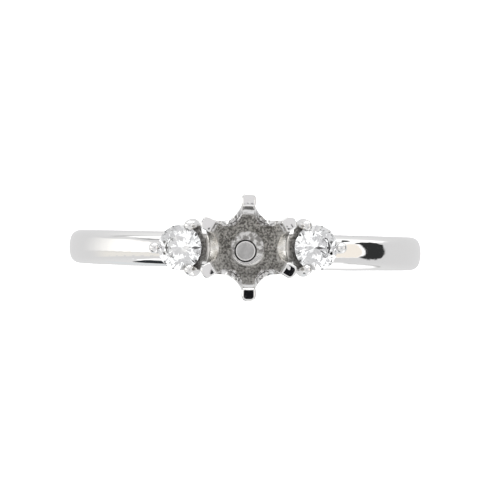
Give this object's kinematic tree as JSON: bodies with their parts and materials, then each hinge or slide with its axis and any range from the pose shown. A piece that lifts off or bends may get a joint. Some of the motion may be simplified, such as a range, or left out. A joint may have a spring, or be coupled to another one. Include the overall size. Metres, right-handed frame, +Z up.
{
  "type": "three-stone ring",
  "caption": "Slim ring with an open six-prong centre head ready for a stone, and a small round brilliant in a three-prong head on each side.",
  "frame": {"origin": "centre of the finger hole, on its axis, half way through the shank's width", "axes": "-Y towards the centre head, X across the ring from side stone to side stone, +Z up from the surface that the ring lies on; the finger axis leans 4.2 degrees from +Z towards +Y, because the ring rests on its lowest prong and on the rear of its shank"},
  "size_m": [0.0202, 0.0242, 0.0058],
  "materials": {
    "white_metal": "mirror polished outside, matt as-cast inside the centre head",
    "clear_stone": "faceted and polished"
  },
  "bodies": {
    "root": {"ring_body": "white_metal", "side_stone_left": "clear_stone", "side_stone_right": "clear_stone"}
  },
  "joints": []
}
